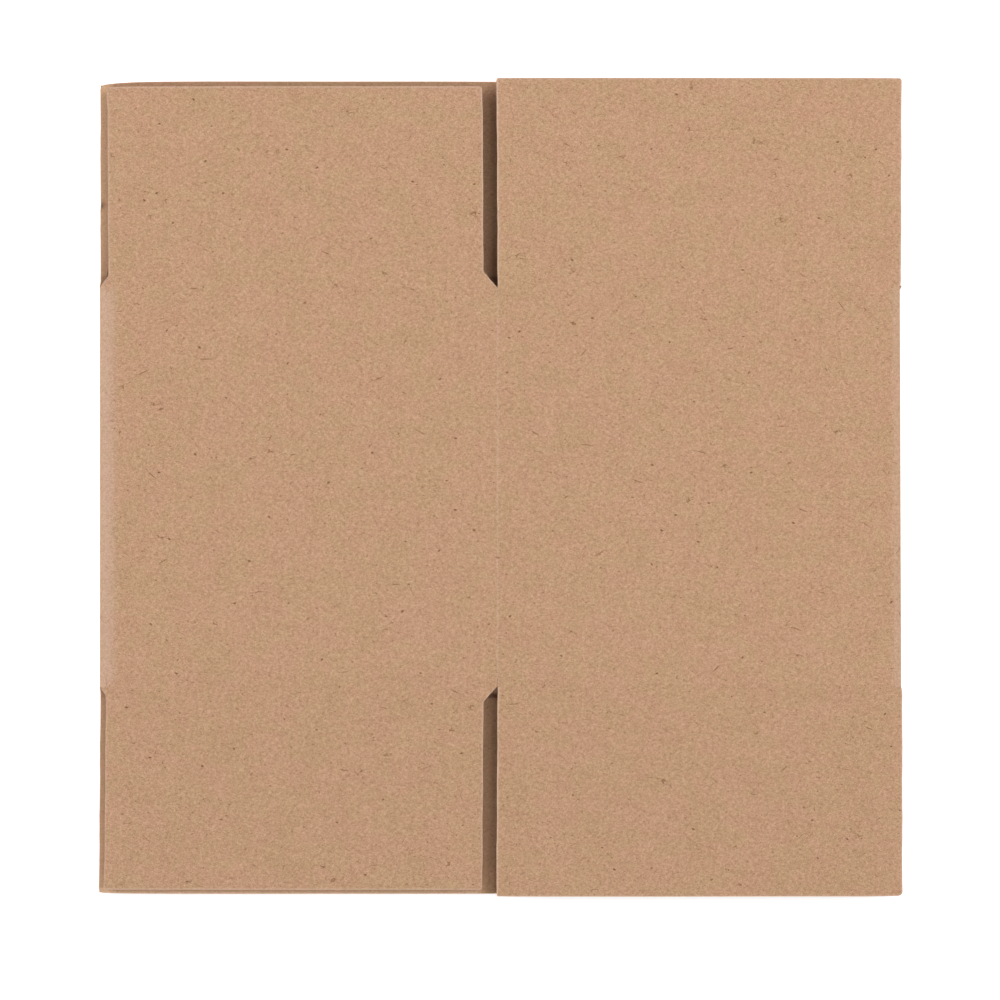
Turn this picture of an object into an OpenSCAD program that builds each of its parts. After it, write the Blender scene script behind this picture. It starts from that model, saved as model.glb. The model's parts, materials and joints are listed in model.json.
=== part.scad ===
// Flattened corrugated carton, lying as it comes from the bundle: a glued tube pressed flat,
// with its flaps in line with the panels. X runs across the folds, Y along the flutes, Z is up.

/* [Box] */
// Inside height of the box when it is made up
inside_height = 153.3; // [100:0.1:300]
// Wide panels, score to score
wide_panel = 157.2; // [100:0.1:300]
// Narrow panels, score to score
narrow_panel = 155.2; // [100:0.1:300]
// Every flap, score to free edge
flap_length = 78.6; // [40:0.1:150]

/* [Board] */
// Thickness of the corrugated board
board_t = 2.7; // [2:0.1:4]
// Distance from one flute to the next
flute_pitch = 6.4; // [5:0.1:9]
// Thickness of each flat liner
liner_t = 0.35; // [0.2:0.05:0.5]
// Thickness of the fluted paper
medium_t = 0.3; // [0.2:0.05:0.5]
// How far in the flutes are open from a free edge
flute_depth = 12; // [5:0.5:30]

/* [Slots] */
// Width of the slot between neighbouring flaps
slot_w = 5.6; // [4:0.1:10]
// Set-back of a narrow flap from the folded edge
fold_relief = 3; // [2:0.1:5]
// Length of the slanted end of a slot
slot_slant = 6.2; // [3:0.1:10]
// Radius of the blunted flap corners
corner_r = 1; // [0.4:0.1:3]

/* [Folds] */
// Clear space between the two layers, kept by the glued lap
layer_gap = 3.6; // [3.2:0.1:8]
// Outside corner radius of the two closed folds
fold_r = 3; // [1.5:0.1:4]
// Board left where a fold is crushed
fold_t = 1.9; // [1.2:0.1:2.5]
// Inside corner radius of the two closed folds
fold_inner_r = 0.8; // [0.2:0.1:1.5]

/* [Scores] */
// Width of the score lines on the inner face
score_w = 3.4; // [2:0.1:6]
// Depth of the score lines on the inner face
score_depth = 0.6; // [0.2:0.05:1.2]
// Width of the score lines on the printed face
face_score_w = 1.6; // [0.8:0.1:4]
// Depth of the score lines on the printed face
face_score_depth = 0.12; // [0.05:0.01:0.4]
// Slit along the score of a flap that swings
hinge_gap = 0.4; // [0.3:0.05:1]

/* [Glued lap] */
// Width of the lap
lap_w = 32; // [20:0.5:45]
// Thickness of the lap as pressed
lap_t = 2.5; // [1.5:0.1:2.7]
// How far the ends of the lap taper in
lap_taper = 7; // [2:0.5:15]
// Gap between the lap's score and the edge that butts against it
seam_gap = 1.6; // [0.5:0.1:4]

/* [Hidden] */
$fn = 96;
kraft = [0.76, 0.6, 0.48];
half_w = (wide_panel + narrow_panel) / 2;
crease_x = narrow_panel - half_w;
narrow_score = (inside_height + board_t) / 2;
wide_score = narrow_score + board_t;
narrow_end = narrow_score + flap_length;
wide_end = wide_score + flap_length;
upper_z = board_t + layer_gap;
top_z = upper_z + board_t;
slant_slope = slot_slant / slot_w;
tip_gap = hinge_gap + 0.1;
wave = (board_t - 2 * liner_t - medium_t) / 2;
seam_x = -crease_x;
bite = 0.5;

// Quarter arc that blunts a corner: centre, radius and the angle it starts from
function blunted(x, y, r, start) = [for (a = [0:15:90]) [x + r * cos(start + a), y + r * sin(start + a)]];

// Height of the fluted paper's centre line at x, a cosine with the flute's pitch
function fluted_z(x) = board_t / 2 + wave * cos(360 * x / flute_pitch);

// Openings above and below the fluted paper, between two edges of a board lying on the X axis
module flute_openings(x_from, x_to) {
    first = ceil(x_from / flute_pitch + 0.5);
    last = floor(x_to / flute_pitch - 0.5);
    shares = [-0.38, -0.16, 0.16, 0.38];
    for (i = [first:0.5:last]) {
        above = i != floor(i);
        side = above ? 1 : -1;
        liner_z = above ? board_t - liner_t : liner_t;
        polygon(concat(
            [for (s = shares) [(i + s) * flute_pitch, fluted_z((i + s) * flute_pitch) + side * medium_t / 2]],
            [[(i + shares[3]) * flute_pitch, liner_z], [(i + shares[0]) * flute_pitch, liner_z]]
        ));
    }
}

// Board of one flap in the upper layer, with its flutes open at the free edge
module flap_board(outline, x_from, x_to, y_end) {
    translate([0, 0, upper_z])
    difference() {
        linear_extrude(board_t) polygon(outline);
        translate([0, y_end + bite, 0]) rotate([90, 0, 0])
        linear_extrude(flute_depth + bite) flute_openings(x_from, x_to);
    }
}

// Narrow flap above its panel, from y = root, cut free by the slanted slots on both sides
module narrow_flap(root) {
    x_from = -half_w + fold_relief;
    x_to = crease_x - slot_w;
    flap_board(concat(
        [[-half_w + tip_gap, root], [crease_x - tip_gap, root]],
        [[crease_x - tip_gap, narrow_score + tip_gap * slant_slope], [x_to, narrow_score + slot_slant]],
        blunted(x_to - corner_r, narrow_end - corner_r, corner_r, 0),
        blunted(x_from + corner_r, narrow_end - corner_r, corner_r, 90),
        [[x_from, narrow_score + fold_relief * slant_slope], [-half_w + tip_gap, narrow_score + tip_gap * slant_slope]]
    ), x_from, x_to, narrow_end);
}

// Wide flap above its panel, from y = root, as wide as the panel
module wide_flap(root) {
    flap_board(concat(
        [[crease_x, root], [half_w, root]],
        blunted(half_w - corner_r, wide_end - corner_r, corner_r, 0),
        blunted(crease_x + corner_r, wide_end - corner_r, corner_r, 90)
    ), crease_x, half_w, wide_end);
}

// The lower layer is the upper one turned over about the Y axis
module turned_over() {
    translate([0, 0, top_z]) rotate([0, 180, 0]) children();
}

module both_ends() {
    children();
    mirror([0, 1, 0]) children();
}

// Rounded rectangle in the XZ plane
module rounded_bar(x_half, z_from, z_to, r) {
    translate([-x_half + r, z_from]) square([2 * (x_half - r), z_to - z_from]);
    translate([-x_half, z_from + r]) square([2 * x_half, z_to - z_from - 2 * r]);
    for (x = [r - x_half, x_half - r], z = [z_from + r, z_to - r]) translate([x, z]) circle(r);
}

// Four panels pressed flat: two layers joined by the closed folds
module tube() {
    translate([0, narrow_score - hinge_gap / 2, 0]) rotate([90, 0, 0])
    linear_extrude(2 * narrow_score - hinge_gap)
    difference() {
        rounded_bar(half_w, 0, top_z, fold_r);
        rounded_bar(half_w - fold_t, board_t, upper_z, fold_inner_r);
    }
}

// Strip of a wide panel between the ends of the folds and its own score
module wide_neck() {
    translate([crease_x, narrow_score - hinge_gap / 2 - bite, upper_z])
    cube([half_w - crease_x, board_t + bite, board_t]);
}

// Score pressed into a face as a shallow hollow along X, from x_from to x_to at height z
module score_x(x_from, x_to, y, z, w, depth) {
    r = (w * w / 4 + depth * depth) / (2 * depth);
    translate([x_from, y, z + r - depth]) rotate([0, 90, 0]) cylinder(r = r, h = x_to - x_from, $fn = 180);
}

// Score along the centre crease, between the two front panels
module score_y(x, z, w, depth) {
    r = (w * w / 4 + depth * depth) / (2 * depth);
    translate([x, wide_end, z + r - depth]) rotate([90, 0, 0]) cylinder(r = r, h = 2 * wide_end, $fn = 180);
}

// Gap of the butt joint in the lower layer, eased where the lap's score bends up
module seam() {
    translate([0, wide_end, 0]) rotate([90, 0, 0]) linear_extrude(2 * wide_end)
    polygon([
        [seam_x - board_t / 2, -bite], [seam_x - board_t / 2, 0], [seam_x, board_t / 2], [seam_x, board_t],
        [seam_x + seam_gap, board_t], [seam_x + seam_gap, -bite]
    ]);
}

// Lap bent up from the wide panel and glued on the inside of the narrow one
module glued_lap() {
    lap_half = narrow_score - hinge_gap - fold_inner_r;
    intersection() {
        translate([0, lap_half, 0]) rotate([90, 0, 0]) linear_extrude(2 * lap_half)
        polygon([
            [seam_x - board_t, board_t], [seam_x, board_t + lap_t],
            [seam_x + lap_w, board_t + lap_t], [seam_x + lap_w, board_t]
        ]);
        linear_extrude(top_z) polygon([
            [seam_x - 2 * board_t, -lap_half], [seam_x, -lap_half], [seam_x + lap_w, lap_taper - lap_half],
            [seam_x + lap_w, lap_half - lap_taper], [seam_x, lap_half], [seam_x - 2 * board_t, lap_half]
        ]);
    }
}

// The folded sheet: panels, closed folds, glued lap, and the flaps of the lower layer
module carton() {
    color(kraft) {
        difference() {
            union() {
                tube();
                both_ends() wide_neck();
                both_ends() turned_over() {
                    wide_flap(narrow_score - hinge_gap / 2 - bite);
                    narrow_flap(narrow_score - hinge_gap / 2 - bite);
                }
            }
            seam();
            both_ends() {
                score_x(-half_w + fold_r, seam_x, wide_score, board_t, score_w, score_depth);
                score_x(seam_x + seam_gap, half_w - fold_r, narrow_score, board_t, score_w, score_depth);
            }
            score_y(crease_x, top_z, face_score_w, face_score_depth);
        }
        glued_lap();
    }
}

module top_narrow_flap() {
    color(kraft) narrow_flap(narrow_score + hinge_gap / 2);
}

module top_wide_flap() {
    color(kraft) wide_flap(wide_score + hinge_gap / 2);
}

module bottom_narrow_flap() {
    color(kraft) mirror([0, 1, 0]) narrow_flap(narrow_score + hinge_gap / 2);
}

module bottom_wide_flap() {
    color(kraft) mirror([0, 1, 0]) wide_flap(wide_score + hinge_gap / 2);
}

carton();
top_narrow_flap();
top_wide_flap();
bottom_narrow_flap();
bottom_wide_flap();
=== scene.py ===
import json
import bpy
import numpy as np
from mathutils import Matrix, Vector


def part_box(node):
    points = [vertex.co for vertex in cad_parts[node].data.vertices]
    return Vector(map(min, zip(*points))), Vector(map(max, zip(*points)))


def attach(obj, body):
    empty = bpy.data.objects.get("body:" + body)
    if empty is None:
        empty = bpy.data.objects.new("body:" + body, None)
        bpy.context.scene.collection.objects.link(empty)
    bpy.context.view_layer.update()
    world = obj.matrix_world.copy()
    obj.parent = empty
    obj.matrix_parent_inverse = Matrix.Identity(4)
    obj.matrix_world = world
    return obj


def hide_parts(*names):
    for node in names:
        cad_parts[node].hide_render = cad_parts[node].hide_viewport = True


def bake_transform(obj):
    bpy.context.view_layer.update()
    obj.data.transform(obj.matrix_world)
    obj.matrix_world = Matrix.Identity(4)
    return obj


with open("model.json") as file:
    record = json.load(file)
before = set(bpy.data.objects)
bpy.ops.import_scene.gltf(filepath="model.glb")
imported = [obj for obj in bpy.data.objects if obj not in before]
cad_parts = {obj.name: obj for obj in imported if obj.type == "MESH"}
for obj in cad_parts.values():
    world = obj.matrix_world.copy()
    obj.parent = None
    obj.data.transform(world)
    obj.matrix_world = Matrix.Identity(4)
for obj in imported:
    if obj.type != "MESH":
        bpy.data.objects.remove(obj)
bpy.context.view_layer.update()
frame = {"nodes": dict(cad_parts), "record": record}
print("frame loaded:", ", ".join(frame["nodes"]))

mm = 0.001


def inMm(metres):
    return np.round(np.array(metres) / mm, 3)


# Sizes in mm, read from the solids. The sheet runs round the folds: wide panel below left,
# narrow panel above left, wide panel above right, narrow panel below right
scores = {joint["name"]: inMm(joint["pos_m"])[1] for joint in frame["record"]["behaviour"]["joints"]}
flapLow, flapHigh = inMm(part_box("top_wide_flap"))
halfWidth, _, topZ = inMm(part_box("carton")[1])
creaseX = flapLow[0]
seamX = -creaseX
carton = dict(widePanel=halfWidth - creaseX, narrowPanel=halfWidth + creaseX,
              narrowScore=scores["top_narrow_score"], wideScore=scores["top_wide_score"],
              flapLength=flapHigh[1] - scores["top_wide_score"], boardThick=topZ - flapLow[2],
              slotWidth=5.6, slotSlant=6.2, foldStep=0.5)
foldEnd = carton["narrowScore"]  # both folds stop at the slots
takeOver = 4.0  # inside its score, where a flap's mesh takes over from the panel's
askew = dict(out=0.25, fromX=100.0)  # the right fold was pressed a little out of square

# The board: outer liner, fluted paper, inner liner. foldPitch: the flutes crushed in a fold
board = dict(liner=0.32, fluted=0.28, pitch=6.4, perFlute=12, foldPitch=3.1, leastRoom=0.05)
# Where on the paper's endless pattern each sheet starts, in mm
paperShift = dict(inner=400.0, rightFold=600.0, core=800.0, lap=1200.0, lower=2000.0)
sharpAngle = 34  # degrees between two faces, from which their edge is sharp


# Slopes and bumps

def bell(distance, width):
    # one at no distance, falling off to both sides
    return np.exp(-(distance / width) ** 2)


def smooth(value, low, high):
    # from zero at low to one at high, level at both
    share = np.clip((value - low) / (high - low), 0, 1)
    return share * share * (3 - 2 * share)


# Mesh helpers

def gridFaces(rows, cols, first=0, flip=False):
    # quads between the points of a rows x cols grid, numbered row by row
    corner = first + np.arange((rows - 1) * cols).reshape(rows - 1, cols)[:, :-1].ravel()
    quads = np.stack([corner, corner + 1, corner + cols + 1, corner + cols], 1)
    return quads[:, ::-1] if flip else quads


def plate(front, back, sheet, rubAndPaintedLight, slots):
    # two grids of the same shape, joined round their border into one closed skin;
    # slots gives the material of the front face and of the back and rim
    rows, cols = front.shape[:2]
    count = rows * cols
    index = np.arange(count).reshape(rows, cols)
    border = np.concatenate([index[0, :-1], index[:-1, -1], index[-1, :0:-1], index[:0:-1, 0]])
    after = np.roll(border, -1)
    rim = np.stack([border, border + count, after + count, after], 1)
    faces = np.concatenate([gridFaces(rows, cols), gridFaces(rows, cols, count, True), rim])
    slot = np.full(len(faces), slots[1])
    slot[:(rows - 1) * (cols - 1)] = slots[0]
    return dict(points=np.concatenate([front.reshape(-1, 3), back.reshape(-1, 3)]), faces=faces, slot=slot,
                sheet=np.tile(sheet.reshape(-1, 2), (2, 1)), rubAndPaintedLight=np.tile(rubAndPaintedLight.ravel(), 2))


def turned(part, over=False, mirrored=False, shift=0.0):
    # over: half a turn about the middle line along Y, which makes a lower board of an upper one;
    # mirrored: the same board at the other end; shift: another stretch of the paper's pattern
    points = part["points"].copy()
    sheet = part["sheet"].copy()
    if over:
        points[:, 0] *= -1
        points[:, 2] = topZ - points[:, 2]
    if mirrored:
        points[:, 1] *= -1
        sheet[:, 1] *= -1
    sheet[:, 0] += shift
    faces = part["faces"][:, ::-1] if mirrored else part["faces"]
    return dict(part, points=points, faces=faces, sheet=sheet)


def makePiece(name, parts, materials):
    # one object from closed skins; the sheet's flat coordinates are its UV map, and the rub with its painted
    # light and shade is an attribute
    starts = np.cumsum([0] + [len(p["points"]) for p in parts])
    points = np.concatenate([p["points"] for p in parts])
    lean = askew["out"] * np.clip(-points[:, 1] / foldEnd, -1, 1)
    points[:, 0] += lean * smooth(points[:, 0], askew["fromX"], halfWidth)
    points *= mm
    faces = np.concatenate([p["faces"] + s for p, s in zip(parts, starts)])
    mesh = bpy.data.meshes.new(name)
    mesh.from_pydata(points.tolist(), [], faces.tolist())
    flat = np.concatenate([p["sheet"] for p in parts]) * mm
    layer = mesh.uv_layers.new(name="sheet")
    layer.data.foreach_set("uv", flat[faces.ravel()].astype(np.float32).ravel())
    worn = mesh.attributes.new("rubAndPaintedLight", "FLOAT", "POINT")
    worn.data.foreach_set("value", np.concatenate([p["rubAndPaintedLight"] for p in parts]).astype(np.float32))
    for material in materials:
        mesh.materials.append(material)
    mesh.polygons.foreach_set("material_index", np.concatenate([p["slot"] for p in parts]).astype(np.int32))
    mesh.polygons.foreach_set("use_smooth", np.ones(len(faces), bool))
    mesh.set_sharp_from_angle(angle=np.radians(sharpAngle))
    mesh.update()
    piece = bpy.data.objects.new(name, mesh)
    bpy.context.scene.collection.objects.link(piece)
    print(name, "has", len(faces), "quads")
    return piece


# Node helpers

def setInput(tree, socket, value):
    if isinstance(value, bpy.types.NodeSocket):
        tree.links.new(value, socket)
    else:
        socket.default_value = value


def addNode(tree, kind, settings=None, **inputs):
    node = tree.nodes.new(kind)
    for key, value in (settings or {}).items():
        setattr(node, key, value)
    for key, value in inputs.items():
        setInput(tree, node.inputs[key], value)
    return node


def calc(tree, operation, first, second=0.5, third=0.5):
    node = addNode(tree, "ShaderNodeMath", dict(operation=operation))
    for socket, value in zip(node.inputs, (first, second, third)):
        setInput(tree, socket, value)
    return node.outputs[0]


def ramp(tree, value, low, high, outLow=0.0, outHigh=1.0):
    # smooth step of value from low to high
    node = addNode(tree, "ShaderNodeMapRange", dict(interpolation_type="SMOOTHSTEP"))
    for socket, number in zip(node.inputs[:5], (value, low, high, outLow, outHigh)):
        setInput(tree, socket, number)
    return node.outputs[0]


def tint(tree, share, first, second, mode="MIX"):
    node = addNode(tree, "ShaderNodeMix", dict(data_type="RGBA", blend_type=mode))
    for key, value in ((0, share), (6, first), (7, second)):
        setInput(tree, node.inputs[key], value)
    return node.outputs[2]


patternTurn = 0.6  # least turn of a pattern's lattice, in radians


def stretched(tree, vector, scale, offset):
    # scaled, shifted, and turned by an angle of its own so that no lattice lines up with the edges
    return addNode(tree, "ShaderNodeMapping", Vector=vector, Scale=(*scale, 1), Location=(*offset, 0),
                   Rotation=(0, 0, patternTurn + offset[0])).outputs[0]


def noise(tree, vector, detail=2.0, roughness=0.5):
    # smooth noise about zero
    fac = addNode(tree, "ShaderNodeTexNoise", dict(noise_dimensions="2D"), Vector=vector, Scale=1.0,
                  Detail=detail, Roughness=roughness).outputs["Fac"]
    return calc(tree, "SUBTRACT", fac, 0.5)


def newGroup(name, inputs, outputs):
    group = bpy.data.node_groups.new(name, "ShaderNodeTree")
    for label, kind, value in inputs:
        socket = group.interface.new_socket(label, in_out="INPUT", socket_type=kind)
        if value is not None:
            socket.default_value = value
    for label, kind in outputs:
        group.interface.new_socket(label, in_out="OUTPUT", socket_type=kind)
    return group, group.nodes.new("NodeGroupInput").outputs, group.nodes.new("NodeGroupOutput").inputs


# Kraft paper on the sheet's flat millimetres. Layers of noise: cells per mm along X and Y, offset, weight.
# Strokes: cells per mm, offset, share of cells left bare, half length and half width in mm, strength.
# Hairs: cells per mm, offset. Each noise has its detail and roughness beside it
paperPattern = dict(
    clouds=[((0.07, 0.10), (0, 0), 0.8), ((0.22, 0.36), (31, 7), 1.0)],
    cloudNoise=(3, 0.55), cloudHeight=0.6,
    grain=[((1.9, 2.2), (3, 19), 1.4), ((0.9, 1.2), (11, 5), 0.85), ((0.6, 0.76), (27, 43), 0.65),
           ((0.28, 0.36), (61, 17), 0.2)],
    grainNoise=(1, 0.6),
    specks=[(0.085, 13.0, 0.62, 0.75, 0.42, 1.0), (0.20, 41.0, 0.68, 0.66, 0.30, 0.65),
            (0.42, 77.0, 0.58, 0.52, 0.22, 0.50), (0.048, 91.0, 0.66, 2.6, 0.26, 0.75)],
    flecks=[(0.11, 23.0, 0.66, 0.70, 0.30, 1.0), (0.3, 57.0, 0.6, 0.45, 0.22, 0.6)],
    fleckLight=0.12,
    slantSpread=1.8, strokeSizes=(0.5, 1.0), strokeEdge=(0.4, 1.2), bareEdge=0.15,
    hairs=[((0.10, 0.22), (5, 60)), ((0.17, 0.2), (90, 23))],
    hairNoise=(1, 0.4), hairWidth=0.006, hairCore=0.0012, hairBreaks=(0.17, 0.17), hairShare=(0.175, 0.235),
    hue=[((0.05, 0.06), (50, 50), 1.0), ((0.15, 0.18), (83, 29), 0.8)],
    hueNoise=(1, 0.5), hueSpan=0.25, warm=(1.021, 0.988, 1.021), green=(0.979, 1.012, 0.979),
    redShare=0.79, blueShare=1.25)  # how strongly light and dark act on red and blue beside green


def layered(tree, flat, layers, detail, roughness):
    # weighted sum of smooth noises
    total = 0.0
    for scale, offset, weight in layers:
        layer = noise(tree, stretched(tree, flat, scale, offset), detail, roughness)
        total = calc(tree, "MULTIPLY_ADD", layer, weight, total)
    return total


def scattered(tree, flat, spots):
    # short strokes in some cells of a point pattern, each with its own size and slant: the distance
    # from the cell's point, turned and stretched into an ellipse
    total = 0.0
    spread, bareEdge = paperPattern["slantSpread"], paperPattern["bareEdge"]
    for density, offset, bare, halfLong, halfWide, strength in spots:
        place = stretched(tree, flat, (density, density), (offset, offset))
        cells = addNode(tree, "ShaderNodeTexVoronoi", dict(voronoi_dimensions="2D"), Vector=place, Scale=1.0)
        chance = addNode(tree, "ShaderNodeSeparateColor", Color=cells.outputs["Color"]).outputs
        away = addNode(tree, "ShaderNodeVectorMath", dict(operation="SUBTRACT"))
        tree.links.new(place, away.inputs[0])
        tree.links.new(cells.outputs["Position"], away.inputs[1])
        slant = calc(tree, "MULTIPLY_ADD", chance[1], spread, -patternTurn - offset - spread / 2)
        lined = addNode(tree, "ShaderNodeVectorRotate", dict(rotation_type="Z_AXIS"),
                        Vector=away.outputs[0], Angle=slant).outputs[0]
        shape = addNode(tree, "ShaderNodeMapping", Vector=lined,
                        Scale=(1 / (halfLong * density), 1 / (halfWide * density), 1)).outputs[0]
        out = addNode(tree, "ShaderNodeVectorMath", dict(operation="LENGTH"), Vector=shape).outputs["Value"]
        size = ramp(tree, chance[2], 0.0, 1.0, *paperPattern["strokeSizes"])
        stroke = ramp(tree, calc(tree, "DIVIDE", out, size), *paperPattern["strokeEdge"], strength, 0.0)
        present = ramp(tree, chance[0], bare, bare + bareEdge)
        total = calc(tree, "MAXIMUM", total, calc(tree, "MULTIPLY", stroke, present))
    return total


def hairLines(tree, flat):
    # thin level lines of a smooth noise, cut short by a second noise
    core, width = paperPattern["hairCore"], paperPattern["hairWidth"]
    total = 0.0
    for scale, offset in paperPattern["hairs"]:
        level = noise(tree, stretched(tree, flat, scale, offset), *paperPattern["hairNoise"])
        line = ramp(tree, calc(tree, "ABSOLUTE", level), core, width, 1.0, 0.0)
        part = noise(tree, stretched(tree, flat, paperPattern["hairBreaks"], offset[::-1]), 0)
        strand = calc(tree, "MULTIPLY", line, ramp(tree, part, *paperPattern["hairShare"]))
        total = calc(tree, "MAXIMUM", total, strand)
    return total


def paperGroup():
    group, given, result = newGroup("kraftPaper", [
        ("Sheet", "NodeSocketVector", None), ("Colour", "NodeSocketColor", (0.5, 0.3, 0.2, 1)),
        ("Clouds", "NodeSocketFloat", 0.1), ("Grain", "NodeSocketFloat", 0.3),
        ("Specks", "NodeSocketFloat", 0.5), ("Fibres", "NodeSocketFloat", 0.3)],
        [("Colour", "NodeSocketColor"), ("Height", "NodeSocketFloat")])
    pattern = paperPattern
    flat = addNode(group, "ShaderNodeVectorMath", dict(operation="SCALE"), Vector=given["Sheet"],
                   Scale=1 / mm).outputs[0]
    cloud = layered(group, flat, pattern["clouds"], *pattern["cloudNoise"])
    grain = layered(group, flat, pattern["grain"], *pattern["grainNoise"])
    fleck = scattered(group, flat, pattern["flecks"])
    level = calc(group, "MULTIPLY_ADD", grain, given["Grain"], 1.0)
    level = calc(group, "MULTIPLY_ADD", cloud, given["Clouds"], level)
    level = calc(group, "MULTIPLY_ADD", fleck, pattern["fleckLight"], level)
    hair = calc(group, "MULTIPLY", hairLines(group, flat), given["Fibres"])
    speck = calc(group, "MULTIPLY", scattered(group, flat, pattern["specks"]), given["Specks"])
    light = calc(group, "SUBTRACT", 1.0, calc(group, "MAXIMUM", speck, hair))
    level = calc(group, "MULTIPLY", level, light)
    # warmer and greener patches, too faint to read as stains
    span = pattern["hueSpan"]
    hue = ramp(group, layered(group, flat, pattern["hue"], *pattern["hueNoise"]), -span, span)
    patches = tint(group, hue, (*pattern["warm"], 1), (*pattern["green"], 1))
    toned = tint(group, 1.0, given["Colour"], patches, "MULTIPLY")
    shade = addNode(group, "ShaderNodeCombineColor", Green=level,
                    Red=calc(group, "POWER", level, pattern["redShare"]),
                    Blue=calc(group, "POWER", level, pattern["blueShare"])).outputs[0]
    group.links.new(tint(group, 1.0, toned, shade, "MULTIPLY"), result["Colour"])
    group.links.new(calc(group, "MULTIPLY_ADD", cloud, pattern["cloudHeight"], grain), result["Height"])
    return group


def washboardGroup():
    # flutes showing faintly through a liner: a cosine across X
    group, given, result = newGroup("washboard", [
        ("Sheet", "NodeSocketVector", None), ("Pitch", "NodeSocketFloat", board["pitch"])],
        [("Wave", "NodeSocketFloat")])
    across = addNode(group, "ShaderNodeSeparateXYZ", Vector=given["Sheet"]).outputs[0]
    turns = calc(group, "DIVIDE", calc(group, "MULTIPLY", across, 2 * np.pi / mm), given["Pitch"])
    group.links.new(calc(group, "COSINE", turns), result["Wave"])
    return group


kraftPaper, washboard = paperGroup(), washboardGroup()

# Colours are linear. rubbedAndLit: how much paler a paper gets where it is rubbed, and where painted light
# stands in for light. The finish says the same of cut fibres that fray under a painted highlight, of painted
# light on a shaded margin and of painted shade, how far rubbing evens out the grain, and between which
# heights of the grain it takes hold
kraftFace = dict(colour=(0.546, 0.328, 0.197), rubbedAndLit=(1.11, 1.20, 1.40), clouds=0.15, grain=0.55,
                 specks=0.74, fibres=0.5, wave=0.006)
kraftInside = dict(colour=(0.450, 0.266, 0.156), rubbedAndLit=(1.28, 1.28, 1.30), clouds=0.16, grain=0.45,
                   specks=0.6, fibres=0.4, wave=0.010)
flutedPaper = dict(colour=(0.430, 0.255, 0.150), rubbedAndLit=(1.15, 1.18, 1.25), clouds=0.12, grain=0.40,
                   specks=0.4, fibres=0.25, wave=0.0)
finish = dict(frayedAndLit=(1.16, 1.20, 1.22), paintedLightTone=(1.18, 1.27, 1.36), paintedShadeTone=(0.50, 0.44, 0.38), smoothed=0.45,
              holdHeights=(-0.4, 0.3), holdShares=(0.85, 1.0), bump=0.25, bumpHeight=0.08, waveHeight=0.3,
              roughness=0.88, gloss=0.22)


def paperMaterial(name, paper):
    material = bpy.data.materials.new(name)
    material.use_nodes = True
    tree = material.node_tree
    shader = tree.nodes["Principled BSDF"]
    sheet = addNode(tree, "ShaderNodeUVMap", dict(uv_map="sheet")).outputs["UV"]
    body = addNode(tree, "ShaderNodeGroup", dict(node_tree=kraftPaper), Sheet=sheet,
                   Colour=(*paper["colour"], 1), Clouds=paper["clouds"], Grain=paper["grain"],
                   Specks=paper["specks"], Fibres=paper["fibres"]).outputs
    rubAndPaintedLight = addNode(tree, "ShaderNodeAttribute", dict(attribute_name="rubAndPaintedLight")).outputs["Fac"]
    # the rub breaks up a little with the grain; above one the fibres fray and carry a painted highlight,
    # above two there is painted light on a shaded margin, below zero there is painted shade
    hold = ramp(tree, body["Height"], *finish["holdHeights"], *finish["holdShares"])
    broken = calc(tree, "MULTIPLY", ramp(tree, rubAndPaintedLight, 0.0, 1.0), hold)
    smoothed = tint(tree, finish["smoothed"], body["Colour"], (*paper["colour"], 1))
    pale = tint(tree, 1.0, smoothed, (*paper["rubbedAndLit"], 1), "MULTIPLY")
    colour = tint(tree, broken, body["Colour"], pale)
    for low, high, tone in ((1, 2, finish["frayedAndLit"]), (2, 3, finish["paintedLightTone"]), (0, -1, finish["paintedShadeTone"])):
        toned = tint(tree, 1.0, colour, (*tone, 1), "MULTIPLY")
        colour = tint(tree, ramp(tree, rubAndPaintedLight, low, high), colour, toned)
    height = body["Height"]
    if paper["wave"]:
        flutes = addNode(tree, "ShaderNodeGroup", dict(node_tree=washboard), Sheet=sheet,
                         Pitch=board["pitch"]).outputs[0]
        # painted shade: the colour darkens and lightens with the flutes' ripple, beside the ripple's bump
        waveShade = calc(tree, "MULTIPLY_ADD", flutes, paper["wave"], 1.0)
        waveShadeColour = addNode(tree, "ShaderNodeCombineColor", Red=waveShade, Green=waveShade, Blue=waveShade).outputs[0]
        colour = tint(tree, 1.0, colour, waveShadeColour, "MULTIPLY")
        height = calc(tree, "MULTIPLY_ADD", flutes, finish["waveHeight"], height)
    tree.links.new(colour, shader.inputs["Base Color"])
    bump = addNode(tree, "ShaderNodeBump", Strength=finish["bump"], Distance=finish["bumpHeight"] * mm,
                   Height=height)
    tree.links.new(bump.outputs[0], shader.inputs["Normal"])
    shader.inputs["Roughness"].default_value = finish["roughness"]
    shader.inputs["Specular IOR Level"].default_value = finish["gloss"]
    return material


papers = [paperMaterial("kraftFace", kraftFace), paperMaterial("kraftInside", kraftInside),
          paperMaterial("flutedPaper", flutedPaper)]
print("paper materials made")

# Outer face. slowX, slowY: rates per mm and phases of the slow unevenness. slowSlant: rates along X and Y of
# a slanted one. levelFrom: where both fade out towards the folds
faceShape = dict(creaseDip=0.10, creaseDipWidth=2.0, creaseRidge=0.17, creaseRidgeWidth=0.50, uneven=0.10,
                 slowX=(0.041, 0.6), slowY=(0.033, 0.4), slowSlant=(0.083, -0.027), slantShare=0.6,
                 levelFrom=(2.0, 14.0))


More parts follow.
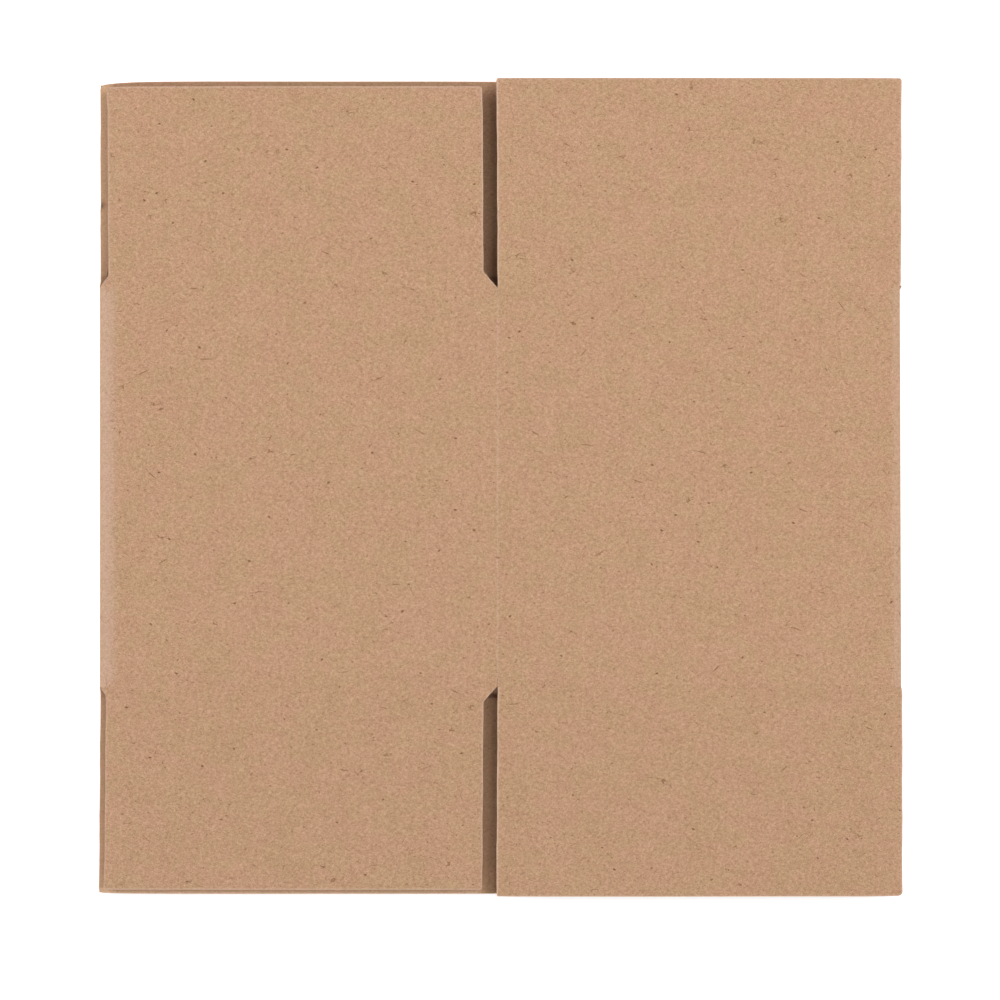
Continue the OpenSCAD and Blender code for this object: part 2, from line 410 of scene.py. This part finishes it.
def upperFace(x, y):
    # outer face of the upper layer: level, with a small ridge in a shallow dip along the centre crease
    # and a slow unevenness of a tenth of a millimetre
    shape = faceShape
    (rateX, phaseX), (rateY, phaseY), (slantX, slantY) = shape["slowX"], shape["slowY"], shape["slowSlant"]
    ridge = shape["creaseRidge"] * bell(x - creaseX, shape["creaseRidgeWidth"])
    ridge = ridge - shape["creaseDip"] * bell(x - creaseX, shape["creaseDipWidth"])
    slow = np.sin(x * rateX + phaseX) * np.cos(y * rateY + phaseY)
    slow = slow + shape["slantShare"] * np.sin(x * slantX + y * slantY)
    return topZ + ridge + shape["uneven"] * slow * smooth(halfWidth - np.abs(x), *shape["levelFrom"])


# Paler bands along the folds, part wear and part painted highlight on the rounded folds: strength, and mm
# from the fold where a band starts to fade and where it is gone. Wrinkles: mm from the left fold, strength.
# pastFold: share of it all that is lost past the ends of the folds. insideShare: how much of it the inner
# face shows
rubAndHighlightBands = dict(left=(0.85, 2.5, 9.5), right=(0.6, 2.0, 4.8), wrinkleWidth=0.4,
                wrinkles=[(2.7, 0.35), (4.1, 0.22), (5.5, 0.16)], crease=0.6, creaseWidth=0.42,
                pastFold=0.8, fadeIn=4.0, fadeOut=2.0, insideShare=0.4)


def rubAndHighlightAlong(x, y):
    # paler paper, part wear and part painted highlight: a broad band with thin wrinkles beside the left fold,
    # a narrow band beside the right fold, both of which end with the folds, and a thin line on the centre
    # crease
    bands = rubAndHighlightBands
    past = smooth(np.abs(y), foldEnd - bands["fadeIn"], foldEnd + bands["fadeOut"])
    strength, low, high = bands["left"]
    beside = strength * (1 - smooth(x + halfWidth, low, high))
    for away, strength in bands["wrinkles"]:
        beside = beside + strength * bell(x + halfWidth - away, bands["wrinkleWidth"])
    strength, low, high = bands["right"]
    beside = beside + strength * (1 - smooth(halfWidth - x, low, high))
    rubAndPaintedLight = beside * (1 - bands["pastFold"] * past) + bands["crease"] * bell(x - creaseX, bands["creaseWidth"])
    return np.clip(rubAndPaintedLight, 0, 1)


def liners(x, y, outerZ, thick, rubAndPaintedLight, innerRubAndPaintedLight):
    # the two flat papers: closed skins at the outer face and at the inner one, thick mm below it
    def at(z):
        return np.stack([x, y, z], 2)
    sheet, paper = np.stack([x, y], 2), board["liner"]
    innerZ = outerZ - thick
    outer = plate(at(outerZ), at(outerZ - paper), sheet, rubAndPaintedLight, (0, 1))
    inner = plate(at(innerZ + paper), at(innerZ), sheet + (paperShift["inner"], 0), innerRubAndPaintedLight, (1, 1))
    return [outer, inner]


def flutedSkin(x, y, outerZ, thick):
    # fluted paper: its middle is a cosine across X, as high as the liners leave room for
    room = np.maximum(thick - 2 * board["liner"] - board["fluted"], board["leastRoom"])
    middle = outerZ - thick / 2 + room / 2 * np.cos(2 * np.pi * x / board["pitch"])
    half = board["fluted"] / 2
    front, back = np.stack([x, y, middle + half], 2), np.stack([x, y, middle - half], 2)
    return plate(front, back, np.stack([x + paperShift["core"], y], 2), np.zeros_like(x), (2, 2))


# crushed: what the press left of the board's thickness. thinned: share of the turn over which it thins.
# rubLitMiddle, rubLitUpper, rubLitLower: rub and painted highlight added along the fold's middle, upper and
# lower lines
foldShape = dict(radius=3.0, crushed=1.9, thinned=(0.0, 0.9), dent=0.18, dentWidth=0.9, rubAndPaintedLight=0.2,
                 rubLitMiddle=0.5, rubLitUpper=0.65, rubLitLower=0.35, rubWidth=1.2)
# Torn fibres, darkened with painted shade: place along Y, height before the fold is turned over, how far they
# stand out and run on past the fold's end, half sizes, how dark the painted shade is
foldTuft = dict(y=77.9, z=4.2, out=1.05, along=0.8, halfLong=0.8, halfHigh=1.3, dark=5.0)
lapShape = dict(width=32.0, thick=2.5, taper=7.0, seamGap=1.6, bendReach=1.4, rubAndPaintedLight=0.4, rubWidth=1.5)

# Each flap's own cut in mm. relief: set back from the folded edge. foldOut: how far a wide flap stands out
# past the fold. foldLean, slotLean: how far the free end's sides stand out further. foldFlare, slotFlare: the
# same, but only close to the corner. foldWear, slotWear: how far its corners are worn back. foldRound,
# slotRound: corner radii. longer: added to the length. slotDeep: how much deeper the slot is cut. sunk: how
# low the free edge hangs. nick: place along Y and depth of a dent in the fold-side edge. foldRim: how much
# the fold side's edge is frayed and carries its painted highlight. paintedShade: painted shade on the outer
# face.
# foldPaintedLight, endPaintedLight, scorePaintedLight: painted light on the inner face's shaded margins along
# the
# fold side, the free edge and the score. slotPaintedLight: the same a little way in from the slot.
# slotPaintedShade:
# painted shade of the inner face beside the slot's open end
plainCut = dict(relief=3.0, foldOut=0.0, foldLean=0.0, slotLean=0.0, foldFlare=0.0, slotFlare=0.0,
                foldWear=0.1, slotWear=0.1, foldRound=1.0, slotRound=0.8, longer=0.0, slotDeep=0.0, sunk=0.0,
                nick=(0.0, 0.0), foldRim=1.0, paintedShade=0.0, foldPaintedLight=0.0, endPaintedLight=0.0, scorePaintedLight=0.0,
                slotPaintedLight=0.0, slotPaintedShade=0.0)
flapCuts = {
    "top_narrow": dict(plainCut, relief=3.7, foldLean=0.3, slotLean=-0.2, foldFlare=0.45, slotFlare=-0.35,
                       foldWear=0.5, longer=-0.65, slotDeep=0.4, foldRim=0.4),
    "top_wide": dict(plainCut, foldLean=0.25, slotLean=0.35, slotFlare=0.3, foldRound=0.9),
    # bottom flaps: outer face darkened a little with painted shade
    "bottom_narrow": dict(plainCut, relief=2.8, foldLean=1.25, slotLean=-0.45, foldFlare=0.4, longer=0.6,
                          slotDeep=0.68, sunk=3.2, foldRim=0.4, paintedShade=0.1),
    "bottom_wide": dict(plainCut, foldLean=0.1, slotLean=0.5, foldWear=0.3, foldRound=1.7, longer=0.12,
                        sunk=0.4, paintedShade=0.1),
    "lower_top_narrow": plainCut,
    # painted light on its shaded margins along the fold side and the score
    "lower_top_wide": dict(plainCut, foldOut=0.4, foldWear=1.5, foldRound=1.9, longer=-0.3,
                           nick=(110.3, 0.15), foldPaintedLight=1.8, scorePaintedLight=1.2),
    "lower_bottom_narrow": plainCut,
    # painted light on its shaded margins; painted shade beside the slot's open end
    "lower_bottom_wide": dict(plainCut, foldOut=0.4, foldLean=0.6, foldWear=0.4, foldRound=1.5, foldPaintedLight=1.5,
                              endPaintedLight=3.0, scorePaintedLight=0.6, slotPaintedLight=1.0, slotPaintedShade=0.75)}

# What all cuts share. step: length of a sudden step in a side. wearReach: how far a worn or flared corner's
# slope runs along its edges. wearRows: length of the free end that wear pulls back. freeFrom: past the fold's
# end, where the sides are fully cut. stray: size, rate and phase of the blade's wander
cutShape = dict(step=0.02, wearReach=8.0, wearRows=12.0, freeFrom=0.6, nickWidth=1.1,
                stray=[(0.04, 0.9, 1.3), (0.06, 0.23, 0.0)])


def cornerCut(rows, end, radius):
    # how far a blunted corner takes a side edge in: a quarter circle below the free edge
    return radius - np.sqrt(np.maximum(radius ** 2 - np.maximum(rows - end + radius, 0) ** 2, 0))


def sideEdges(kind, cut, rows, lower):
    # x of a flap's left and right edges at each row: straight lines through the ends of its cuts,
    # the slow stray of a blade, a dent, and quarter circles at the corners
    end = carton[kind + "Score"] + carton["flapLength"] + cut["longer"]
    bend, past = foldShape["radius"], foldEnd + cutShape["step"]
    if kind == "narrow":
        reliefEnd = foldEnd + cut["relief"] * carton["slotSlant"] / carton["slotWidth"]
        foldY = [rows[0], foldEnd, past, reliefEnd, end]
        foldIn = [bend, bend, carton["foldStep"], cut["relief"], cut["relief"] - cut["foldLean"]]
        slotEnd, butt = foldEnd - cut["slotDeep"], lapShape["seamGap"] if lower else 0.0
        slotY = [rows[0], slotEnd, slotEnd + carton["slotSlant"], end]
        slotIn = [butt, butt, carton["slotWidth"], carton["slotWidth"] - cut["slotLean"]]
    else:
        foldY = [rows[0], foldEnd, past, end]
        foldIn = [bend, bend, -cut["foldOut"], -cut["foldOut"] - cut["foldLean"]]
        slotY, slotIn = [rows[0], foldEnd, end], [0.0, 0.0, -cut["slotLean"]]
    stray = sum(size * np.sin(rows * rate + phase) for size, rate, phase in cutShape["stray"])
    stray = stray * smooth(rows, foldEnd, foldEnd + cutShape["freeFrom"])
    dent = cut["nick"][1] * bell(rows - cut["nick"][0], cutShape["nickWidth"])
    nearEnd = np.exp((rows - end) / cutShape["wearReach"])
    fold = np.interp(rows, foldY, foldIn) + stray + dent + cornerCut(rows, end, cut["foldRound"])
    slot = np.interp(rows, slotY, slotIn) - stray + cornerCut(rows, end, cut["slotRound"])
    fold, slot = fold - cut["foldFlare"] * nearEnd, slot - cut["slotFlare"] * nearEnd
    if kind == "narrow":
        return fold[:, None] - halfWidth, creaseX - slot[:, None]
    return creaseX + slot[:, None], halfWidth - fold[:, None]


# Heights of a flap's face. bendFade: how far past its end the fold still rounds the flap. ripple: the slow
# wave that lifts the free edge, with the phases of narrow and wide flaps
flapRelief = dict(scoreDip=0.10, scoreWidth=1.4, scoreCrush=0.8, edgeDrop=0.16, edgeWidth=0.55, edgeCrush=1.6,
                  bendFade=1.6, mostBend=0.97, sagPower=1.2, lift=0.35, liftFrom=0.08,
                  ripple=dict(rate=0.024, narrow=2.1, wide=0.4, size=0.5, level=-0.15))
# Rub, painted light and painted shade of a flap. Pairs are where a band starts to fade and where it is gone,
# in mm from the side, the score or the slot; slotShadeRows are shares of the flap's length
flapTone = dict(rim=1.8, rimWidth=0.5, rimSide=1.0, mostRub=2.0, foldBand=(2.5, 5.0), foldRows=(-1, 3),
                endBand=(1.6, 3.6), endFromSlot=(7.0, 10.0), slotIn=(2.0, 7.0), slotOut=(10.0, 16.0),
                scoreBand=(4.0, 18.0), slotShadeBand=(4.0, 8.0), slotShadeRows=(0.5, 1.0),
                nickDark=2.0, nickInside=2.8, nickLong=1.5, nickDeep=1.6)
# Grid lines in mm. near: columns in from each side. Other rows are given from the score or the free edge
flapGrid = dict(near=[0, 0.12, 0.28, 0.5, 0.8, 1.2, 1.8, 2.6], columns=60, atScore=np.linspace(-2.6, 2.6, 27),
                atNick=np.linspace(-2.4, 2.4, 13), rowFrom=8.0, rowTo=4.0, rowStep=4.0, atEnd=[3.4, 2.4],
                corner=1 - np.sin(np.linspace(0, np.pi / 2, 7)), coreIn=0.15, coreShort=0.12, coreEvery=4,
                coreRows=(0.3, 0.2), farIn=9.0)


def flapBoard(kind, cut, lower=False):
    # flap of the upper layer at the +Y end, as a grid: x runs from its left edge to its right edge,
    # y from inside the score to the free edge
    score = carton[kind + "Score"]
    end = score + carton["flapLength"] + cut["longer"]
    narrow, bend = kind == "narrow", foldShape["radius"]
    relief, tone, grid = flapRelief, flapTone, flapGrid

    def place(rows, near, middleCount):
        # columns at fixed distances from both side edges and an even spread between;
        # worn corners pull y back
        share = np.linspace(0, 1, middleCount + 2)[1:-1]
        toRight = np.concatenate([np.zeros(len(near)), share, np.ones(len(near))])
        added = np.concatenate([near, near[-1] * (1 - 2 * share), -near[::-1]])
        left, right = sideEdges(kind, cut, rows, lower)
        x = left * (1 - toRight) + right * toRight + added
        fromFold, fromSlot = (x + halfWidth, creaseX - x) if narrow else (halfWidth - x, x - creaseX)
        worn = cut["foldWear"] * np.exp(-np.maximum(fromFold, 0) / cutShape["wearReach"])
        worn = worn + cut["slotWear"] * np.exp(-np.maximum(fromSlot, 0) / cutShape["wearReach"])
        y = rows[:, None] - worn * smooth(rows, end - cutShape["wearRows"], end)[:, None]
        return x, y, fromFold, fromSlot

    def edges(rows, x):
        # distance from the nearest cut edge, and from the fold's side; beside the fold nothing is cut yet
        left, right = sideEdges(kind, cut, rows, lower)
        cutShare = np.maximum(smooth(rows, foldEnd, foldEnd + cutShape["freeFrom"])[:, None], 1e-3)
        side = np.minimum(x - left, right - x) / cutShare
        edge = np.maximum(np.minimum(side, end - rows[:, None]), 0)
        return edge, (x - left if narrow else right - x)

    def heights(x, y, edge, fromFold):
        # the outer face dips at the score and along cut edges, follows the fold's curve beside the fold's
        # end, and hangs towards the free edge
        dip = bell(y - score, relief["scoreWidth"])
        intoBend = np.clip(bend - fromFold, 0, bend * relief["mostBend"])
        curve = bend - np.sqrt(bend ** 2 - intoBend ** 2)
        curve = curve * np.exp(-np.maximum(y - foldEnd, 0) / relief["bendFade"])
        drop = relief["edgeDrop"] * np.exp(-edge / relief["edgeWidth"])
        z = upperFace(x, y) - relief["scoreDip"] * dip - curve - drop
        if not lower:
            out = np.clip((y - score) / carton["flapLength"], 0, 1)
            wave = relief["ripple"]
            ripple = wave["size"] * np.sin(x * wave["rate"] + wave[kind]) + wave["level"]
            z = z - cut["sunk"] * out ** relief["sagPower"]
            z = z + relief["lift"] * ripple * smooth(out, relief["liftFrom"], 1)
        return z, carton["boardThick"] - relief["scoreCrush"] * dip - relief["edgeCrush"] * drop

    def rubsAndPaintedLight(rows, x, y, edge, fromSide, fromFold, fromSlot):
        # outer face: the bands along the folds, frayed cut edges with a painted highlight, painted shade on
        # the bottom flaps;
        # inner face: the palest of its shaded margins as painted light, less the painted shade beside the
        # slot; painted shade at a nick on both
        # painted highlight along the cut edges, on top of their frayed fibres
        rim = bell(edge, tone["rimWidth"]) * (1 - (1 - cut["foldRim"]) * bell(fromSide, tone["rimSide"]))
        outer = np.minimum(rubAndHighlightAlong(x, y) + tone["rim"] * rim, tone["mostRub"]) - cut["paintedShade"]
        # painted light on the inner face's margins that lie in shade: fold side, free edge, beside the slot,
        # at the score
        fold = cut["foldPaintedLight"] * (1 - smooth(fromFold, *tone["foldBand"]))
        fold = fold * smooth(y - foldEnd, *tone["foldRows"])
        free = cut["endPaintedLight"] * (1 - smooth(end - rows, *tone["endBand"]))[:, None]
        free = free * smooth(fromSlot, *tone["endFromSlot"])
        slot = cut["slotPaintedLight"] * smooth(fromSlot, *tone["slotIn"]) * (1 - smooth(fromSlot, *tone["slotOut"]))
        scored = cut["scorePaintedLight"] * (1 - smooth(y - score, *tone["scoreBand"]))
        # painted shade beside the slot's open end, growing towards the free edge
        paintedShade = cut["slotPaintedShade"] * smooth((y - score) / carton["flapLength"], *tone["slotShadeRows"])
        paintedShade = paintedShade * (1 - smooth(fromSlot, *tone["slotShadeBand"]))
        inner = np.maximum.reduce([fold, free, slot, scored, rim]) - paintedShade
        if cut["nick"][1]:
            # painted shade at the dent
            dark = bell(y - cut["nick"][0], tone["nickLong"]) * bell(fromFold, tone["nickDeep"])
            outer, inner = outer - tone["nickDark"] * dark, inner - tone["nickInside"] * dark
        return outer, inner

    corner = max(cut["foldRound"], cut["slotRound"])
    reliefEnd = cut["relief"] * carton["slotSlant"] / carton["slotWidth"]
    rows = np.unique(np.round(np.concatenate([
        [score - takeOver, score - takeOver + 1, foldEnd, foldEnd + cutShape["step"]],
        score + grid["atScore"],
        foldEnd + np.array([-cut["slotDeep"], carton["slotSlant"] - cut["slotDeep"], reliefEnd]),
        np.arange(score + grid["rowFrom"], end - grid["rowTo"], grid["rowStep"]),
        cut["nick"][0] + grid["atNick"] if cut["nick"][1] else [],
        end - cut["foldRound"] * grid["corner"], end - cut["slotRound"] * grid["corner"],
        end - np.array(grid["atEnd"] + [corner + grid["coreRows"][1]])]), 3))
    x, y, fromFold, fromSlot = place(rows, np.array(grid["near"]), grid["columns"])
    edge, fromSide = edges(rows, x)
    z, thick = heights(x, y, edge, fromFold)
    skins = liners(x, y, z, thick, *rubsAndPaintedLight(rows, x, y, edge, fromSide, fromFold, fromSlot))

    # fluted paper, a little short of every cut edge; past the corners' start its sides run straight on
    before, last = grid["coreRows"]
    straight = end - corner
    waveRows = np.unique(np.concatenate([rows[rows < straight - before][::grid["coreEvery"]],
                                         [straight - last, end - grid["coreShort"]]]))
    count = int(carton[kind + "Panel"] / board["pitch"] * board["perFlute"])
    x, y, fromFold, _ = place(np.minimum(waveRows, straight), np.array([grid["coreIn"]]), count)
    y = y + np.maximum(waveRows - straight, 0)[:, None]
    z, thick = heights(x, y, np.full_like(x, grid["farIn"]), fromFold)
    return skins + [flutedSkin(x, y, z, thick)]


# Panels, closed folds and the glued lap. Grid lines in mm, from the crease, from the fold or from its end
panelGrid = dict(rows=41, atCrease=np.array([0, 0.15, 0.3, 0.45, 0.6, 0.8, 1.1, 1.5, 2.1, 3, 4.5]), fine=0.35,
                 narrowFine=8.0, narrowColumns=66, wideFine=4.0, wideColumns=68, creaseRoom=8.0,
                 buttRoom=0.3, lapRoom=0.2)
foldGrid = dict(turn=12, flat=9, atEnd=np.array([0, 0.2, 0.6, 1.4]), middleFrom=4.0, middle=9)
lapGrid = dict(flat=14, bend=15, rows=13)


def panelStrip(xs, yHalf):
    # flat part of one panel between its folds and its flaps, upper layer
    x, y = np.meshgrid(xs, np.linspace(-yHalf, yHalf, panelGrid["rows"]))
    thick = np.full_like(x, carton["boardThick"])
    rubAndPaintedLight = rubAndHighlightAlong(x, y)
    return liners(x, y, upperFace(x, y), thick, rubAndPaintedLight, rubAndPaintedLight * rubAndHighlightBands["insideShare"])


def foldStrip(torn=False):
    # left fold: from the lower layer round to the upper one, two quarter turns with a flat between,
    # carried along Y; the flat has the score's dent, and the board thins to what the press left.
    # torn: a tuft stands out at the end, darkened with painted shade
    r, shape = foldShape["radius"], foldShape
    turn = np.linspace(0, np.pi / 2, foldGrid["turn"])
    flatZ = np.linspace(r, topZ - r, foldGrid["flat"])[1:-1]
    px = np.concatenate([r - r * np.sin(turn), np.zeros(len(flatZ)), r - r * np.cos(turn)])
    pz = np.concatenate([r - r * np.cos(turn), flatZ, topZ - r + r * np.sin(turn)])
    nx = np.concatenate([-np.sin(turn), -np.ones(len(flatZ)), -np.cos(turn)])
    nz = np.concatenate([-np.cos(turn), np.zeros(len(flatZ)), np.sin(turn)])
    inward = shape["dent"] * bell(pz - topZ / 2, shape["dentWidth"])
    thick = carton["boardThick"] - (carton["boardThick"] - shape["crushed"]) * smooth(-nx, *shape["thinned"])
    along = np.concatenate([[0], np.cumsum(np.hypot(np.diff(px), np.diff(pz)))])
    atEnd, middle = foldGrid["atEnd"], foldEnd - foldGrid["middleFrom"]
    ys = np.linspace(-middle, middle, foldGrid["middle"])
    ys = np.concatenate([atEnd - foldEnd, ys, foldEnd - atEnd[::-1]])
    tuft = torn * np.outer(bell(ys - foldTuft["y"], foldTuft["halfLong"]),
                           bell(pz - foldTuft["z"], foldTuft["halfHigh"]))

    def at(depth):
        # the profile moved in by depth, and along Y at the tuft
        depth = np.broadcast_to(depth, tuft.shape)
        y = ys[:, None] + foldTuft["along"] * tuft
        return np.stack([px - halfWidth - nx * depth, y, pz - nz * depth], 2)

    sheet = np.stack(np.meshgrid(along - along[-1] - halfWidth + r, ys), 2)
    wrinkleIn, wrinkle = rubAndHighlightBands["wrinkles"][0]
    # rub with a painted highlight on the rounded fold
    worn = shape["rubAndPaintedLight"] + wrinkle * bell(px - wrinkleIn, rubAndHighlightBands["wrinkleWidth"]) * (pz > topZ / 2)
    for height, strength in ((topZ / 2, "rubLitMiddle"), (topZ, "rubLitUpper"), (0, "rubLitLower")):
        worn = worn + shape[strength] * bell(pz - height, shape["rubWidth"])
    # painted shade on the tuft
    rubAndPaintedLight = worn - foldTuft["dark"] * tuft
    liner, fluted = board["liner"], board["fluted"]
    outerAt = inward - foldTuft["out"] * tuft
    outer = plate(at(outerAt), at(outerAt + liner), sheet, rubAndPaintedLight, (0, 1))
    inner = plate(at(thick - liner), at(thick), sheet + (paperShift["inner"], 0),
                  rubAndPaintedLight * rubAndHighlightBands["insideShare"], (1, 1))
    room = np.maximum(thick - 2 * liner - fluted - inward, board["leastRoom"])
    wave = inward + liner + room * (0.5 + 0.5 * np.cos(2 * np.pi * along / board["foldPitch"]))
    core = plate(at(wave), at(wave + fluted), sheet + (paperShift["core"], 0), rubAndPaintedLight * 0, (2, 2))
    return [outer, inner, core]


def lapStrip():
    # lap: lies a board higher than the panel it is bent from, by a smooth step at its score; its ends taper
    reach, rows = lapShape["bendReach"], lapGrid["rows"]
    flatX = np.linspace(seamX + lapShape["width"], seamX + reach, lapGrid["flat"])[:-1]
    xs = np.concatenate([flatX, np.linspace(seamX + reach, seamX - reach, lapGrid["bend"])])
    taper = lapShape["taper"] * np.clip((xs - seamX) / lapShape["width"], 0, 1)
    share = np.linspace(-1, 1, rows)[:, None]
    x, y = np.tile(xs, (rows, 1)), share * (carton["wideScore"] - takeOver - taper)
    step = smooth(x, seamX - reach, seamX + reach)
    thick = carton["boardThick"] + (lapShape["thick"] - carton["boardThick"]) * step
    sheet = np.stack([x + paperShift["lap"], y], 2)

    def at(depth):
        return np.stack([x, y, carton["boardThick"] * step + depth], 2)
    rubAndPaintedLight = lapShape["rubAndPaintedLight"] * bell(x - seamX, lapShape["rubWidth"])
    liner = board["liner"]
    outer = plate(at(0), at(liner), sheet, rubAndPaintedLight, (0, 1))
    inner = plate(at(thick - liner), at(thick), sheet, rubAndPaintedLight, (1, 1))
    return [outer, inner]


def buildPanels():
    # upper narrow and wide panels, the same two turned over for the lower layer, two folds, one lap
    grid, bend = panelGrid, foldShape["radius"]

    def fromFold(kind):
        # fine columns beside the fold, even ones from there to near the crease
        fine, far = grid[kind + "Fine"], carton[kind + "Panel"] - bend - grid["creaseRoom"]
        even = np.linspace(fine, far, grid[kind + "Columns"])
        return np.concatenate([np.arange(0, fine, grid["fine"]), even])

    narrowX = np.concatenate([bend - halfWidth + fromFold("narrow"), creaseX - grid["atCrease"][::-1]])
    wideX = np.concatenate([creaseX + grid["atCrease"], halfWidth - bend - fromFold("wide")[::-1]])
    narrowHalf, wideHalf = carton["narrowScore"] - takeOver, carton["wideScore"] - takeOver
    buttX, lapX = creaseX - lapShape["seamGap"], creaseX + lapShape["bendReach"]
    lowerNarrowX = np.append(narrowX[narrowX < buttX - grid["buttRoom"]], buttX)
    lowerWideX = np.append(lapX, wideX[wideX > lapX + grid["lapRoom"]])
    parts = panelStrip(narrowX, narrowHalf) + panelStrip(wideX, wideHalf) + foldStrip() + lapStrip()
    lower = panelStrip(lowerNarrowX, narrowHalf) + panelStrip(lowerWideX, wideHalf)
    parts += [turned(p, over=True, shift=paperShift["lower"]) for p in lower]
    parts += [turned(p, over=True, shift=paperShift["rightFold"]) for p in foldStrip(torn=True)]
    return parts


panels = makePiece("carton_panels", buildPanels(), papers)
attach(panels, "carton")
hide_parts("carton")

for place in ("top", "bottom"):
    parts = []
    for kind in ("narrow", "wide"):
        skins = flapBoard(kind, flapCuts[f"lower_{place}_{kind}"], lower=True)
        parts += [turned(p, over=True, mirrored=place == "bottom", shift=paperShift["lower"]) for p in skins]
    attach(makePiece(f"lower_{place}_flaps", parts, papers), "carton")
print("folded sheet made")

# Upper flaps: a piece each, from inside its score to its free edge
for kind, place in (("narrow", "top"), ("narrow", "bottom"), ("wide", "top"), ("wide", "bottom")):
    node = f"{place}_{kind}_flap"
    skins = flapBoard(kind, flapCuts[f"{place}_{kind}"])
    flap = makePiece(node + "_board", [turned(p, mirrored=place == "bottom") for p in skins], papers)
    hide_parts(node)
    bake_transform(flap)
print("upper flaps made")


# Stage, in metres: white floor, soft light, camera straight above
stageSet = dict(floorHalf=1.3, floorDrop=0.0002, floorColour=(0.93, 0.93, 0.93), floorRoughness=0.9,
                floorGlow=0.60, skyStrength=0.165, cameraHeight=0.909, frameWidth=0.389,
                aim=(-0.0001, -0.0050), sensor=36.0, clip=(0.05, 20))
softboxes = dict(leftBox=dict(place=(-1.35, 0.5, 0.75), size=(1.0, 1.4), power=17.2),
                 rightBox=dict(place=(1.35, 0.5, 0.75), size=(1.0, 1.4), power=12.4),
                 highBox=dict(place=(0.6, 0.5, 1.2), size=(0.5, 0.8), power=4.4),
                 nearBox=dict(place=(0.0, -3.0, 1.2), size=(2.0, 1.0), power=53.0))


def seenDirectly(tree):
    # one for what the camera sees, also by reflection or through glass
    rays = tree.nodes.new("ShaderNodeLightPath").outputs
    mirrored = calc(tree, "MAXIMUM", rays["Is Glossy Ray"], rays["Is Transmission Ray"])
    return calc(tree, "MAXIMUM", rays["Is Camera Ray"], mirrored)


floorMesh = bpy.data.meshes.new("floor")
half = stageSet["floorHalf"]
corners = [(-half, -half, 0), (half, -half, 0), (half, half, 0), (-half, half, 0)]
floorMesh.from_pydata(corners, [], [(0, 1, 2, 3)])
floor = bpy.data.objects.new("floor", floorMesh)
floor.location.z = -stageSet["floorDrop"]
bpy.context.scene.collection.objects.link(floor)
floorPaint = bpy.data.materials.new("floorPaint")
floorPaint.use_nodes = True
tree = floorPaint.node_tree
shader = tree.nodes["Principled BSDF"]
shader.inputs["Base Color"].default_value = (*stageSet["floorColour"], 1)
shader.inputs["Roughness"].default_value = stageSet["floorRoughness"]
shader.inputs["Specular IOR Level"].default_value = 0.0
shader.inputs["Emission Color"].default_value = (1, 1, 1, 1)
glow = calc(tree, "MULTIPLY", seenDirectly(tree), stageSet["floorGlow"])
tree.links.new(glow, shader.inputs["Emission Strength"])
floorMesh.materials.append(floorPaint)

world = bpy.data.worlds.new("studio")
bpy.context.scene.world = world
world.use_nodes = True
tree = world.node_tree
sky = tree.nodes["Background"]
sky.inputs["Color"].default_value = (1, 1, 1, 1)
dim = stageSet["skyStrength"]
tree.links.new(calc(tree, "MULTIPLY_ADD", seenDirectly(tree), 1 - dim, dim), sky.inputs["Strength"])

for name, box in softboxes.items():
    light = bpy.data.lights.new(name, "AREA")
    light.shape = "RECTANGLE"
    light.size, light.size_y = box["size"]
    light.energy = box["power"]
    lamp = bpy.data.objects.new(name, light)
    lamp.location = box["place"]
    lamp.rotation_euler = (-Vector(box["place"])).to_track_quat("-Z", "Y").to_euler()
    bpy.context.scene.collection.objects.link(lamp)

view = bpy.data.cameras.new("camera")
view.sensor_width = stageSet["sensor"]
view.lens = view.sensor_width * (stageSet["cameraHeight"] - topZ * mm) / stageSet["frameWidth"]
view.clip_start, view.clip_end = stageSet["clip"]
camera = bpy.data.objects.new("camera", view)
camera.location = (*stageSet["aim"], stageSet["cameraHeight"])
bpy.context.scene.collection.objects.link(camera)
bpy.context.scene.camera = camera
bpy.context.scene.view_settings.view_transform = "Standard"
print("stage set")
